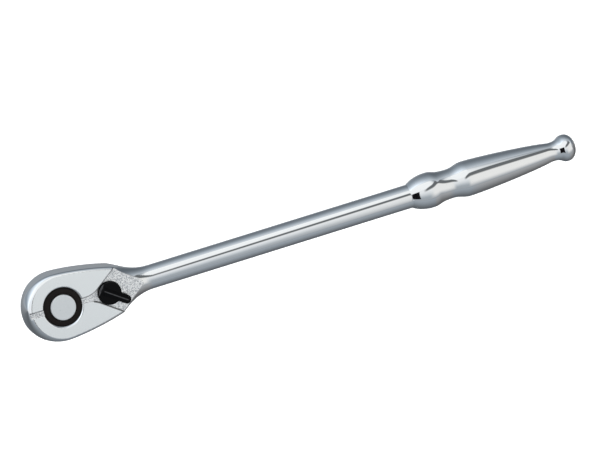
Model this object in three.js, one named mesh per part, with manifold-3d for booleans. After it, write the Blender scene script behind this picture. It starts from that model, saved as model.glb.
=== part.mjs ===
// Long reversible hand ratchet with a 3/8 inch square drive, as an assembly of its separate pieces.
// Units are millimetres. The origin is the centre of the square drive's end face. +X runs along the handle
// to the end knob, and +Z points out of the side of the head that carries the reversing lever.

import * as THREE from 'three';
import { mergeVertices } from 'three/addons/utils/BufferGeometryUtils.js';
import Module from 'manifold-3d';

const wasm = await Module();
wasm.setup();

// ---------------------------------------------------------------- driving dimensions

const noseX = -18.7;
const endX = 261.65;
const headBottom = 12;
const headThickness = 14.5;
const headTop = headBottom + headThickness;
const axisZ = headBottom + headThickness / 2;
const shoulderRadius = 1.5;
const recessFloor = headTop - 0.9;
const crown = { x: -1.35, y: 16.2 };
const noseRound = { edgeRadius: 15, sweep: 9 };

const shaftRadius = 5.73;
const collarStartX = 176.25;
const collarCrest = { x: 186.45, radius: 8.6 };
const waist = { x: 196.85, radius: 7.1 };
const gripCrest = { x: 205.65, radius: 8.6 };
const gripTaperEnd = { x: 245.95, radius: 5.15 };
const gripNeck = { x: 250.05, radius: 4.6 };
const knobCrest = { x: 256.65, radius: 6.6 };

const channelHalfWidth = 1.35;
const kiteApexX = 15;
const kiteSlope = 0.74;

const squareSize = 9.53;
const squareLength = 11.4;
const gearTeeth = 36;
const gearTipRadius = 11.5;
const gearRootRadius = 10.6;
const gearBottom = 15.8;
const gearTop = 22.8;
const lowerJournalRadius = 8.1;
const upperJournalRadius = 9.1;
const upperJournalTop = 24.4;
const hubRadius = 6.1;
const hubTop = headTop + 0.4;
const sealGroove = { radius: 7.28, bottom: 13.95, top: 14.85 };

const gearPocketRadius = 12;
const roofBottom = 23.1;
const plateSeat = 15.2;
const plateBoreRadius = 13;
const plateBottom = 13.7;
const plateTop = 15.1;
const snapGroove = { radius: 13.6, bottom: 12.5, top: 13.6 };
const runningGap = 0.1;

const leverX = 23.15;
const leverRestAngle = THREE.MathUtils.degToRad(-36);
const leverDisc = { radius: 5.45, bottom: recessFloor + 0.2, top: 28.1 };
const leverFlange = { radius: 5.75, top: recessFloor + 0.9 };
const leverRidgeTop = 29.3;
const leverTail = { reach: 10.6, halfWidth: 2.1 };
const leverStem = { radius: 3.4, bottom: 15.9 };
const leverFoot = { radius: 2.5, bottom: 13.5 };
const leverSealGroove = { radius: 2.7, bottom: 24, top: 24.85 };
const leverRingGroove = { radius: 2.05, wallRadius: 3.1, bottom: 14.15, top: 14.9 };

const pawlPinX = 15.8;
const pawlPinRadius = 1.25;
const pawlRock = THREE.MathUtils.degToRad(4);
const pawlBottom = 16;
const pawlTop = 22.7;
const pawlFloor = 15.7;
const pawlBackRadius = 5;

const plunger = { radius: 1.2, reach: 4.9, rear: 0.9, z: (pawlBottom + pawlTop) / 2 };
const plungerBore = { radius: 1.25, end: 1.9 };

const ballRadius = 1.5875;
const ballStandsOut = 0.65;
const ballZ = 5;

const roundSides = 48;
const handleSides = 32;
const smallSides = 20;

// ---------------------------------------------------------------- materials

const metal = (color, roughness) => new THREE.MeshStandardMaterial({ color, roughness, metalness: 1 });
const dull = (color, roughness) => new THREE.MeshStandardMaterial({ color, roughness, metalness: 0.1 });
const chrome = metal(0xcdd2d6, 0.12);
const gearSteel = metal(0xb9bdc0, 0.3);
const springSteel = metal(0x9a9c9f, 0.35);
const blackSteel = metal(0x2b2b2d, 0.5);
const leverBlack = dull(0x0d0d0f, 0.35);
const sealBlack = dull(0x1c1918, 0.6);

// ---------------------------------------------------------------- shape helpers

// A closed geometry as a solid that can be joined and cut.
function toSolid(geometry) {
  geometry.deleteAttribute('normal');
  geometry.deleteAttribute('uv');
  const merged = mergeVertices(geometry, 1e-4);
  const vertProperties = Float32Array.from(merged.attributes.position.array);
  const triVerts = Uint32Array.from(merged.index.array);
  return new wasm.Manifold(new wasm.Mesh({ numProp: 3, vertProperties, triVerts }));
}

function toGeometry(solid) {
  const mesh = solid.getMesh();
  const shared = new THREE.BufferGeometry();
  shared.setAttribute('position', new THREE.BufferAttribute(mesh.vertProperties, 3));
  shared.setIndex(new THREE.BufferAttribute(mesh.triVerts, 1));
  const geometry = shared.toNonIndexed();
  geometry.computeVertexNormals();
  return geometry;
}

const toVectors = (pairs) => pairs.map(([first, second]) => new THREE.Vector2(first, second));

// A profile of [radius, height] pairs turned about the Z axis.
function turned(profile, sides = roundSides) {
  return new THREE.LatheGeometry(toVectors(profile), sides).rotateX(Math.PI / 2);
}

// A profile of [radius, distance] pairs turned about the X axis.
function turnedAlongX(profile, sides) {
  return new THREE.LatheGeometry(toVectors(profile), sides).rotateZ(-Math.PI / 2);
}

function cylinder(radius, bottom, top, sides = smallSides) {
  return turned([[0, bottom], [radius, bottom], [radius, top], [0, top]], sides);
}

function arcPoints(centreX, radius, startDegrees, endDegrees, steps) {
  const points = [];
  for (let i = 0; i <= steps; i += 1) {
    const angle = THREE.MathUtils.degToRad(startDegrees + ((endDegrees - startDegrees) * i) / steps);
    points.push([centreX + radius * Math.cos(angle), radius * Math.sin(angle)]);
  }
  return points;
}

const outline = (pairs) => new THREE.Shape(toVectors(pairs));

// An outline from its points above the X axis and their mirror images below it.
const mirroredOutline = (pairs) => outline([...pairs, ...pairs.map(([x, y]) => [x, -y]).reverse()]);

function prism(shape, bottom, top, curveSegments = 12) {
  const settings = { depth: top - bottom, bevelEnabled: false, curveSegments };
  return new THREE.ExtrudeGeometry(shape, settings).translate(0, 0, bottom);
}

function turnSolid(solid, angle, centreX) {
  const degrees = THREE.MathUtils.radToDeg(angle);
  return solid.translate([-centreX, 0, 0]).rotate([0, 0, degrees]).translate([centreX, 0, 0]);
}

// A rubber ring of round section about the Z axis.
function oRing(radius, sectionRadius, z) {
  const sectionSides = 8;
  const profile = [];
  for (let i = 0; i <= sectionSides; i += 1) {
    const angle = (i / sectionSides) * 2 * Math.PI;
    profile.push([radius + sectionRadius * Math.cos(angle), z + sectionRadius * Math.sin(angle)]);
  }
  return turned(profile, smallSides);
}

class Helix extends THREE.Curve {
  constructor(radius, length, turns) {
    super();
    Object.assign(this, { radius, length, turns });
  }

  getPoint(t) {
    const angle = t * this.turns * 2 * Math.PI;
    return new THREE.Vector3(t * this.length, this.radius * Math.cos(angle), this.radius * Math.sin(angle));
  }
}

// A coil spring that starts at the origin and runs along +X.
function coilSpring(radius, wireRadius, length, turns) {
  const stepsPerTurn = 10;
  const section = outline(arcPoints(0, wireRadius, 0, 288, 4));
  return new THREE.ExtrudeGeometry(section, {
    extrudePath: new Helix(radius, length, turns),
    steps: stepsPerTurn * turns,
    bevelEnabled: false,
  });
}

// ---------------------------------------------------------------- handle body

// Pear outline of the head. It runs on into the neck, where the turned flare trims it.
function headOutline() {
  const noseReachY = 10;
  const shoulderX = -10.2;
  const flankX = 5.55;
  const flank = { x: 22.65, y: 13.7 };
  const inFlare = { x: 33.45, y: 9.4 };
  const inNeck = { x: 45.45, y: 7 };
  const shape = new THREE.Shape();
  shape.moveTo(noseX, 0);
  shape.bezierCurveTo(noseX, noseReachY, shoulderX, crown.y, crown.x, crown.y);
  shape.bezierCurveTo(flankX, crown.y, flank.x, flank.y, inFlare.x, inFlare.y);
  shape.lineTo(inNeck.x, inNeck.y);
  shape.lineTo(inNeck.x, -inNeck.y);
  shape.lineTo(inFlare.x, -inFlare.y);
  shape.bezierCurveTo(flank.x, -flank.y, flankX, -crown.y, crown.x, -crown.y);
  shape.bezierCurveTo(shoulderX, -crown.y, noseX, -noseReachY, noseX, 0);
  return shape;
}

// Widest radius of the barrel that rounds the nose.
function barrelWidth() {
  const half = headThickness / 2;
  return noseRound.edgeRadius + noseRound.sweep - Math.sqrt(noseRound.sweep ** 2 - half ** 2);
}

// Barrel about the drive's axis: its side is one arc from the top face's round edge to the bottom's.
function noseBarrel() {
  const half = headThickness / 2;
  const arcCentre = barrelWidth() - noseRound.sweep;
  const steps = 8;
  const side = [];
  for (let i = 0; i <= steps; i += 1) {
    const height = half * ((2 * i) / steps - 1);
    side.push([arcCentre + Math.sqrt(noseRound.sweep ** 2 - height ** 2), axisZ + height]);
  }
  return turned([[0, headBottom], ...side, [0, headTop]]);
}

// Points of a cubic curve given by four [distance, radius] controls, as [radius, distance] pairs.
function curvedStretch(controls, steps) {
  const [start, first, second, end] = toVectors(controls);
  const curve = new THREE.CubicBezierCurve(start, first, second, end);
  return curve.getPoints(steps).map((point) => [point.y, point.x]);
}

// A smooth stretch between two widths, level at both ends, with the reach of the curve at each end.
function ease(from, to, reachFrom, reachTo, steps) {
  return curvedStretch([
    [from.x, from.radius],
    [from.x + reachFrom, from.radius],
    [to.x - reachTo, to.radius],
    [to.x, to.radius],
  ], steps).slice(1);
}

// All that is turned about the shaft's axis: a wide blank for the head, flare, shaft, grip and knob.
function handleProfile() {
  const blankRadius = 26;
  const flare = [[28.45, 12.2], [30.85, 10], [37.05, shaftRadius], [45.15, shaftRadius]];
  const flareSlope = (flare[0][1] - flare[1][1]) / (flare[1][0] - flare[0][0]);
  const flareStartX = flare[0][0] - (blankRadius - flare[0][1]) / flareSlope;
  const collarRise = [
    [collarStartX, shaftRadius],
    [collarStartX + 1.4, shaftRadius + 0.9],
    [collarCrest.x - 5.6, collarCrest.radius],
    [collarCrest.x, collarCrest.radius],
  ];
  const gripTaper = [
    [gripCrest.x, gripCrest.radius],
    [gripCrest.x + 8, gripCrest.radius],
    [gripTaperEnd.x - 8.5, gripTaperEnd.radius + 1.45],
    [gripTaperEnd.x, gripTaperEnd.radius],
  ];
  const gripEnd = [
    [gripTaperEnd.x, gripTaperEnd.radius],
    [gripTaperEnd.x + 1.6, gripTaperEnd.radius - 0.27],
    [gripNeck.x - 1.4, gripNeck.radius],
    [gripNeck.x, gripNeck.radius],
  ];
  const knobEnd = [
    [knobCrest.x, knobCrest.radius],
    [knobCrest.x + 3.2, knobCrest.radius],
    [endX, 3.7],
    [endX, 0],
  ];
  return [
    [0, noseX - 2],
    [blankRadius, noseX - 2],
    [blankRadius, flareStartX],
    ...curvedStretch(flare, 8),
    ...curvedStretch(collarRise, 4),
    ...ease(collarCrest, waist, 4, 7.2, 5),
    ...ease(waist, gripCrest, 4.1, 4.1, 4),
    ...curvedStretch(gripTaper, 5).slice(1),
    ...curvedStretch(gripEnd, 2).slice(1),
    ...ease(gripNeck, knobCrest, 4, 3.1, 4),
    ...curvedStretch(knobEnd, 5).slice(1),
  ];
}

// The sunk area of the lever side: a channel along the head that opens into a kite round the lever.
function recessOutline() {
  const edgeY = (x) => channelHalfWidth + kiteSlope * (x - kiteApexX);
  const channelEndX = kiteApexX - 3.5;
  const edgeStartX = kiteApexX + 2.9;
  const pastCornerX = 30;
  const pastNeckX = 50;
  const blend = new THREE.QuadraticBezierCurve(
    new THREE.Vector2(channelEndX, channelHalfWidth),
    new THREE.Vector2(kiteApexX, channelHalfWidth),
    new THREE.Vector2(edgeStartX, edgeY(edgeStartX)),
  );
  return mirroredOutline([
    [noseX - 4, channelHalfWidth],
    ...blend.getPoints(6).map((point) => [point.x, point.y]),
    [pastCornerX, edgeY(pastCornerX)],
    [pastNeckX, edgeY(pastCornerX)],
  ]);
}

// Stepped bore from the drive side: snap ring groove, plate seat, gear pocket and a round window in the roof.
function gearBore() {
  const windowRadius = upperJournalRadius + runningGap;
  const edgeBreak = 0.6;
  return turned([
    [0, headBottom - 1],
    [plateBoreRadius, headBottom - 1],
    [plateBoreRadius, snapGroove.bottom],
    [snapGroove.radius, snapGroove.bottom],
    [snapGroove.radius, snapGroove.top],
    [plateBoreRadius, snapGroove.top],
    [plateBoreRadius, plateSeat],
    [gearPocketRadius, plateSeat],
    [gearPocketRadius, roofBottom],
    [windowRadius, roofBottom],
    [windowRadius, headTop - edgeBreak],
    [windowRadius + 2 * edgeBreak, headTop + edgeBreak],
    [0, headTop + edgeBreak],
  ]);
}

// Side pocket off the gear pocket, round the pawl and the lever's stem.
function pawlPocket() {
  const stemClearance = 0.7;
  return prism(mirroredOutline([
    [4, 9.5],
    [9.8, 11.5],
    [16.6, 8.5],
    [leverX - 2, 6.5],
    ...arcPoints(leverX, leverStem.radius + stemClearance, 60, 15, 3),
  ]), pawlFloor, roofBottom);
}

// Hole for the lever's stem through the roof, and a blind one for its foot below the pocket.
function leverHole() {
  const stemHole = leverStem.radius + runningGap;
  const footHole = leverFoot.radius + runningGap;
  const holeBottom = leverFoot.bottom - 0.2;
  return turned([
    [0, holeBottom],
    [footHole, holeBottom],
    [footHole, leverRingGroove.bottom],
    [leverRingGroove.wallRadius, leverRingGroove.bottom],
    [leverRingGroove.wallRadius, leverRingGroove.top],
    [footHole, leverRingGroove.top],
    [footHole, leverStem.bottom],
    [stemHole, leverStem.bottom],
    [stemHole, headTop],
    [0, headTop],
  ], smallSides).translate(leverX, 0, 0);
}

function pawlPinHole() {
  const pressGap = 0.05;
  const holeTop = roofBottom + 1.6;
  return cylinder(pawlPinRadius + pressGap, headBottom - 1, holeTop).translate(pawlPinX, 0, 0);
}

function handleBody() {
  const turnedBlank = toSolid(turnedAlongX(handleProfile(), handleSides).translate(0, 0, axisZ));
  const flatHead = toSolid(new THREE.ExtrudeGeometry(headOutline(), {
    depth: headThickness - 2 * shoulderRadius,
    bevelThickness: shoulderRadius,
    bevelSize: shoulderRadius,
    bevelOffset: -shoulderRadius,
    bevelSegments: 2,
    curveSegments: 10,
  }).translate(0, 0, headBottom + shoulderRadius));
  const roundedHead = flatHead.intersect(toSolid(noseBarrel()).add(toSolid(
    new THREE.BoxGeometry(endX, 2 * barrelWidth(), 2 * headThickness).translate(endX / 2, 0, axisZ),
  )));
  const roundPartX = 42.5;
  const roundPartSpan = 24;
  const roundPart = toSolid(
    new THREE.BoxGeometry(endX, roundPartSpan, roundPartSpan).translate(roundPartX + endX / 2, 0, axisZ),
  );
  const blank = turnedBlank.intersect(roundedHead.add(roundPart));
  const cuts = [
    prism(recessOutline(), recessFloor, headTop + 1),
    gearBore(),
    pawlPocket(),
    leverHole(),
    pawlPinHole(),
  ];
  return cuts.reduce((body, cut) => body.subtract(toSolid(cut)), blank);
}

// ---------------------------------------------------------------- drive pieces

// Gear outline with straight-flanked teeth, one of them on +X, grown outwards by a clearance.
function toothOutline(clearance = 0) {
  const pitch = (2 * Math.PI) / gearTeeth;
  const flatHalf = 0.1 * pitch;
  const growth = clearance / gearTipRadius;
  const tipRadius = gearTipRadius + clearance;
  const rootRadius = gearRootRadius + clearance;
  const points = [];
  for (let tooth = 0; tooth < gearTeeth; tooth += 1) {
    const middle = tooth * pitch;
    const corners = [
      [rootRadius, middle - pitch / 2 + flatHalf - growth],
      [tipRadius, middle - flatHalf - growth],
      [tipRadius, middle + flatHalf + growth],
      [rootRadius, middle + pitch / 2 - flatHalf + growth],
    ];
    points.push(...corners.map(([radius, angle]) => [radius * Math.cos(angle), radius * Math.sin(angle)]));
  }
  return outline(points);
}

// Square drive with turned corners and a chamfered end.
function squareDrive() {
  const half = squareSize / 2;
  const insideGear = squareLength + 1;
  const square = toSolid(prism(mirroredOutline([[-half, half], [half, half]]), 0, insideGear));
  const turnedCorners = toSolid(turned([
    [0, 0],
    [5.4, 0],
    [6.35, 0.9],
    [6.35, insideGear],
    [0, insideGear],
  ]));
  return square.intersect(turnedCorners);
}

function driveGear() {
  const edgeBreak = 0.3;
  const teeth = toSolid(prism(toothOutline(), gearBottom, gearTop));
  const journals = toSolid(turned([
    [0, squareLength],
    [lowerJournalRadius - edgeBreak, squareLength],
    [lowerJournalRadius, squareLength + edgeBreak],
    [lowerJournalRadius, sealGroove.bottom],
    [sealGroove.radius, sealGroove.bottom],
    [sealGroove.radius, sealGroove.top],
    [lowerJournalRadius, sealGroove.top],
    [lowerJournalRadius, gearTop],
    [upperJournalRadius, gearTop],
    [upperJournalRadius, upperJournalTop],
    [hubRadius, upperJournalTop],
    [hubRadius, hubTop - edgeBreak],
    [hubRadius - edgeBreak, hubTop],
    [0, hubTop],
  ]));
  const ballBore = toSolid(
    cylinder(ballRadius + 0.06, 0, squareSize / 2 + 3)
      .rotateX(-Math.PI / 2)
      .translate(0, -squareSize / 2 - 1, ballZ),
  );
  return teeth.add(journals).add(squareDrive()).subtract(ballBore);
}

function dustSeal() {
  const inner = hubRadius + runningGap;
  const outer = upperJournalRadius;
  const bottom = upperJournalTop + runningGap;
  const top = headTop - 0.3;
  const shoulder = top - 0.75;
  const flatHalf = 0.35;
  const middle = (inner + outer) / 2;
  return turned([
    [inner, bottom],
    [outer, bottom],
    [outer, shoulder],
    [outer - 0.4, shoulder + 0.45],
    [middle + flatHalf, top],
    [middle - flatHalf, top],
    [inner + 0.4, shoulder + 0.45],
    [inner, shoulder],
    [inner, bottom],
  ]);
}

function driveORing() {
  const bore = lowerJournalRadius + runningGap;
  const sectionRadius = (bore - sealGroove.radius) / 2 - runningGap;
  return oRing((bore + sealGroove.radius) / 2, sectionRadius, (sealGroove.bottom + sealGroove.top) / 2);
}

function detentBall() {
  const centreY = ballRadius - ballStandsOut - squareSize / 2;
  return new THREE.SphereGeometry(ballRadius, 16, 10).translate(0, centreY, ballZ);
}

function detentSpring() {
  const boreEndY = 1.9;
  const length = 4;
  return coilSpring(1.05, 0.22, length, 4).rotateZ(-Math.PI / 2).translate(0, boreEndY - 0.3, ballZ);
}

// ---------------------------------------------------------------- cover pieces

function coverPlate() {
  const inner = lowerJournalRadius + runningGap;
  const outer = plateBoreRadius - runningGap;
  const edgeBreak = 0.3;
  return turned([
    [inner, plateBottom + edgeBreak],
    [inner + edgeBreak, plateBottom],
    [outer - edgeBreak, plateBottom],
    [outer, plateBottom + edgeBreak],
    [outer, plateTop],
    [inner, plateTop],
    [inner, plateBottom + edgeBreak],
  ]);
}

// Internal retaining ring, open at the nose, with a plier hole in each of its two ears.
function coverSnapRing() {
  const outer = snapGroove.radius - runningGap;
  const inner = 12.1;
  const earInner = 10.9;
  const openingAngle = 171;
  const earAngle = 161;
  const bottom = snapGroove.bottom + 0.05;
  const top = snapGroove.top - 0.05;
  const ring = toSolid(prism(outline([
    ...arcPoints(0, outer, -openingAngle, openingAngle, 40),
    ...arcPoints(0, earInner, openingAngle, earAngle, 2),
    ...arcPoints(0, inner, earAngle, -earAngle, 38),
    ...arcPoints(0, earInner, -earAngle, -openingAngle, 2),
  ]), bottom, top));
  const plierHole = toSolid(cylinder(0.6, bottom - 1, top + 1, 12).translate(12.1, 0, 0));
  const holeAngle = THREE.MathUtils.degToRad((openingAngle + earAngle) / 2);
  return ring
    .subtract(turnSolid(plierHole, holeAngle, 0))
    .subtract(turnSolid(plierHole, -holeAngle, 0));
}

function waveWasher() {
  const halfThickness = 0.15;
  const waves = 3;
  const waveHeight = 0.12;
  const middleZ = (plateTop + gearBottom) / 2;
  const geometry = turned([
    [8.7, -halfThickness],
    [11.3, -halfThickness],
    [11.3, halfThickness],
    [8.7, halfThickness],
    [8.7, -halfThickness],
  ]);
  const corners = geometry.attributes.position;
  for (let i = 0; i < corners.count; i += 1) {
    const angle = Math.atan2(corners.getY(i), corners.getX(i));
    corners.setZ(i, middleZ + corners.getZ(i) + waveHeight * Math.cos(waves * angle));
  }
  return geometry;
}

// ---------------------------------------------------------------- pawl pieces

// What the pawl clears when it is rocked to one side (+1 for +Y): the gear's teeth on the side that
// engages, and the whole turning gear on the other side.
function pawlCutter(side) {
  const toothClearance = 0.12;
  const turningClearance = 0.2;
  const bottom = pawlBottom - 1;
  const top = pawlTop + 1;
  const teeth = toSolid(prism(toothOutline(toothClearance), bottom, top));
  const turningGear = toSolid(cylinder(gearTipRadius + turningClearance, bottom, top, roundSides));
  const span = 40;
  const farSide = toSolid(new THREE.BoxGeometry(span, span, span).translate(0, (-side * span) / 2, bottom));
  return teeth.add(turningGear.intersect(farSide));
}

// Two-way pawl, cut in its middle position and then rocked so that its +Y end is in the gear.
function pawl() {
  const blank = toSolid(prism(mirroredOutline([
    [12.4, 3.4],
    [9.6, 5.1],
    [6.4, 8.5],
    [9, 10.4],
    [pawlPinX, 7.4],
    [20.6, 5.4],
    ...arcPoints(leverX, pawlBackRadius, 127, 175, 6),
  ]), pawlBottom, pawlTop));
  const pinHole = toSolid(
    cylinder(pawlPinRadius + runningGap, pawlBottom - 1, pawlTop + 1).translate(pawlPinX, 0, 0),
  );
  const cut = blank
    .subtract(turnSolid(pawlCutter(1), -pawlRock, pawlPinX))
    .subtract(turnSolid(pawlCutter(-1), pawlRock, pawlPinX))
    .subtract(pinHole);
  return turnSolid(cut, pawlRock, pawlPinX);
}

function pawlPin() {
  return cylinder(pawlPinRadius, headBottom + 0.1, roofBottom + 1.4).translate(pawlPinX, 0, 0);
}

// ---------------------------------------------------------------- lever pieces, with the tail along +X

// Ridged tail: its plan, its cross-section and its side view, each run through, and what they share.
function leverTailSolid() {
  const { reach, halfWidth } = leverTail;
  const rear = -5;
  const bottom = leverDisc.bottom + 0.05;
  const eaves = leverDisc.top - 0.1;
  const ridgeHalfWidth = 0.2;
  const ridgeEndSlope = 1.6;
  const sideHalfSpan = halfWidth + 1;
  const plan = prism(outline([
    [rear, halfWidth],
    [rear, -halfWidth],
    ...arcPoints(reach - halfWidth, halfWidth, -90, 90, 8),
  ]), bottom, leverRidgeTop);
  const section = prism(outline([
    [-halfWidth, bottom],
    [halfWidth, bottom],
    [halfWidth, eaves],
    [ridgeHalfWidth, leverRidgeTop],
    [-ridgeHalfWidth, leverRidgeTop],
    [-halfWidth, eaves],
  ]), rear, reach).rotateX(Math.PI / 2).rotateZ(Math.PI / 2);
  const side = prism(outline([
    [rear, bottom],
    [reach, bottom],
    [reach, eaves],
    [reach - ridgeEndSlope, leverRidgeTop],
    [rear + ridgeEndSlope, leverRidgeTop],
    [rear, eaves],
  ]), -sideHalfSpan, sideHalfSpan).rotateX(Math.PI / 2);
  return toSolid(plan).intersect(toSolid(section)).intersect(toSolid(side));
}

function reverseLever() {
  const edgeBreak = 0.35;
  const disc = toSolid(turned([
    [0, leverFoot.bottom],
    [leverFoot.radius - edgeBreak, leverFoot.bottom],
    [leverFoot.radius, leverFoot.bottom + edgeBreak],
    [leverFoot.radius, leverRingGroove.bottom],
    [leverRingGroove.radius, leverRingGroove.bottom],
    [leverRingGroove.radius, leverRingGroove.top],
    [leverFoot.radius, leverRingGroove.top],
    [leverFoot.radius, leverStem.bottom],
    [leverStem.radius, leverStem.bottom],
    [leverStem.radius, leverSealGroove.bottom],
    [leverSealGroove.radius, leverSealGroove.bottom],
    [leverSealGroove.radius, leverSealGroove.top],
    [leverStem.radius, leverSealGroove.top],
    [leverStem.radius, leverDisc.bottom],
    [leverFlange.radius, leverDisc.bottom],
    [leverFlange.radius, leverFlange.top],
    [leverDisc.radius, leverFlange.top],
    [leverDisc.radius, leverDisc.top - edgeBreak],
    [leverDisc.radius - edgeBreak, leverDisc.top],
    [0, leverDisc.top],
  ], handleSides));
  const bore = toSolid(turnedAlongX([
    [0, -leverStem.radius - 1],
    [plungerBore.radius, -leverStem.radius - 1],
    [plungerBore.radius, plungerBore.end],
    [0, plungerBore.end],
  ], smallSides).translate(0, 0, plunger.z));
  return disc.add(leverTailSolid()).subtract(bore);
}

function leverORing() {
  const bore = leverStem.radius + runningGap;
  const sectionRadius = (bore - leverSealGroove.radius) / 2 - 0.04;
  const z = (leverSealGroove.bottom + leverSealGroove.top) / 2;
  return oRing((bore + leverSealGroove.radius) / 2, sectionRadius, z);
}

// Open wire ring that sits half in the foot's groove and half in the groove of the hole.
function leverRetainingRing() {
  const inner = leverRingGroove.radius + runningGap;
  const outer = leverRingGroove.wallRadius - runningGap;
  const openingHalf = 20;
  return prism(outline([
    ...arcPoints(0, outer, openingHalf, 360 - openingHalf, 16),
    ...arcPoints(0, inner, 360 - openingHalf, openingHalf, 16),
  ]), leverRingGroove.bottom + runningGap, leverRingGroove.top - runningGap);
}

// Hollow plunger with a round nose, pointing away from the tail.
function leverPlunger() {
  const boreRadius = 0.8;
  const boreEnd = 3.3;
  const noseStart = plunger.reach - plunger.radius;
  const nose = arcPoints(noseStart, plunger.radius, 90, 0, 5).map(([x, radius]) => [radius, x]);
  return turnedAlongX([
    [0, boreEnd],
    [boreRadius, boreEnd],
    [boreRadius, plunger.rear],
    [plunger.radius, plunger.rear],
    ...nose.slice(0, -1),
    [0, plunger.reach],
  ], smallSides).rotateZ(Math.PI).translate(0, 0, plunger.z);
}

function plungerSpring() {
  const length = 4.9;
  return coilSpring(0.55, 0.13, length, 5).rotateZ(Math.PI).translate(plungerBore.end - 0.2, 0, plunger.z);
}

// ---------------------------------------------------------------- assembly

function addPiece(group, name, shape, material) {
  const geometry = shape instanceof THREE.BufferGeometry ? shape : toGeometry(shape);
  const mesh = new THREE.Mesh(geometry, material);
  mesh.name = name;
  group.add(mesh);
}

const ratchet = new THREE.Group();
addPiece(ratchet, 'handle_body', handleBody(), chrome);
addPiece(ratchet, 'drive_gear', driveGear(), gearSteel);
addPiece(ratchet, 'dust_seal', dustSeal(), sealBlack);
addPiece(ratchet, 'drive_o_ring', driveORing(), sealBlack);
addPiece(ratchet, 'detent_ball', detentBall(), springSteel);
addPiece(ratchet, 'detent_spring', detentSpring(), springSteel);
addPiece(ratchet, 'cover_plate', coverPlate(), blackSteel);
addPiece(ratchet, 'cover_snap_ring', coverSnapRing(), blackSteel);
addPiece(ratchet, 'wave_washer', waveWasher(), springSteel);
addPiece(ratchet, 'pawl', pawl(), gearSteel);
addPiece(ratchet, 'pawl_pin', pawlPin(), gearSteel);

const lever = new THREE.Group();
lever.position.x = leverX;
lever.rotation.z = leverRestAngle;
addPiece(lever, 'reverse_lever', reverseLever(), leverBlack);
addPiece(lever, 'lever_o_ring', leverORing(), sealBlack);
addPiece(lever, 'lever_retaining_ring', leverRetainingRing(), springSteel);
addPiece(lever, 'lever_plunger', leverPlunger(), gearSteel);
addPiece(lever, 'plunger_spring', plungerSpring(), springSteel);
ratchet.add(lever);

export default ratchet;
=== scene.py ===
import math

import bpy
import numpy as np
from mathutils import Matrix, Vector


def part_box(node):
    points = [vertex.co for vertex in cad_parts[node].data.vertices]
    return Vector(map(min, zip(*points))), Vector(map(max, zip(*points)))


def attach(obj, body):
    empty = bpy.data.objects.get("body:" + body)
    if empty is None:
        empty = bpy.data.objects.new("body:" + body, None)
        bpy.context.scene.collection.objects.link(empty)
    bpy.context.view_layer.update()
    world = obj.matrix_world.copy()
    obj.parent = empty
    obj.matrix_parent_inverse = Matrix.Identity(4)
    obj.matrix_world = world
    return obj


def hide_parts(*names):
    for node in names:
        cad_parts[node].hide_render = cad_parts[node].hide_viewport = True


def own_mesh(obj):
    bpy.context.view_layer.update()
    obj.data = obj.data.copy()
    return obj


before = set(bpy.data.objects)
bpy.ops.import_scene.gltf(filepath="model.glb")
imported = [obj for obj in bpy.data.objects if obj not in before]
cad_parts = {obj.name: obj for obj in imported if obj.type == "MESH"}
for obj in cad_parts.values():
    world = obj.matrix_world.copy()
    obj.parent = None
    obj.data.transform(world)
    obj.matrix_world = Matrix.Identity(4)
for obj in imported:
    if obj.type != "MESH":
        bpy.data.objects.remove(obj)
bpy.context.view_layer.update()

MM = 0.001

# ---------------------------------------------------------------- sizes of the handle, in millimetres

HANDLE_LOW, HANDLE_HIGH = (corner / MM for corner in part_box("handle_body"))
NOSE_X = HANDLE_LOW.x
END_X = HANDLE_HIGH.x
CROWN_X = -1.35
CROWN_Y = HANDLE_HIGH.y

HEAD_BOTTOM = 12
HEAD_TOP = 26.5
AXIS_Z = (HEAD_BOTTOM + HEAD_TOP) / 2
NOSE_EDGE = 15
NOSE_SWEEP = 9
SHOULDER = 0.5
RECESS_FLOOR = HEAD_TOP - 0.9
CHANNEL_HALF = 1.35
KITE_APEX_X = 15
KITE_SLOPE = 0.74
KITE_END_X = 30
EDGE = 0.16
TOP_EDGE = 0.08
FLARE_EDGE = 0.5

# The stations of the grip are (place along the shaft, radius).
SHAFT = 5.73
COLLAR_START_X = 176.25
COLLAR = (186.45, 8.6)
WAIST = (196.85, 7.1)
GRIP = (205.65, 8.6)
TAPER_END = (245.95, 5.15)
NECK = (250.05, 4.6)
KNOB = (256.65, 6.6)

# ---------------------------------------------------------------- sizes of the works, in millimetres

# Grooves and the lever's disc are (radius, bottom, top). The lever's stem and foot are (radius, bottom) and
# its flange is (radius, top). Its ring groove starts with two radii, and its bore is (radius, end).
SQUARE_HALF = 9.53 / 2
SQUARE_LENGTH = 11.4
SQUARE_CORNER = 6.35
TEETH = 36
TOOTH_TIP = 11.5
TOOTH_ROOT = 10.6
GEAR_BOTTOM = 15.8
GEAR_TOP = 22.8
LOWER_JOURNAL = 8.1
UPPER_JOURNAL = 9.1
UPPER_JOURNAL_TOP = 24.4
HUB = 6.1
HUB_TOP = HEAD_TOP + 0.4
SEAL_GROOVE = (7.28, 13.95, 14.85)

PLATE_BORE = 13
PLATE_SEAT = 15.2
PLATE_BOTTOM = 13.7
PLATE_TOP = 15.1
SNAP_GROOVE = (13.6, 12.5, 13.6)
GEAR_POCKET = 12
ROOF_BOTTOM = 23.1
WINDOW_BEVEL = 0.6
GAP = 0.1

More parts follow.
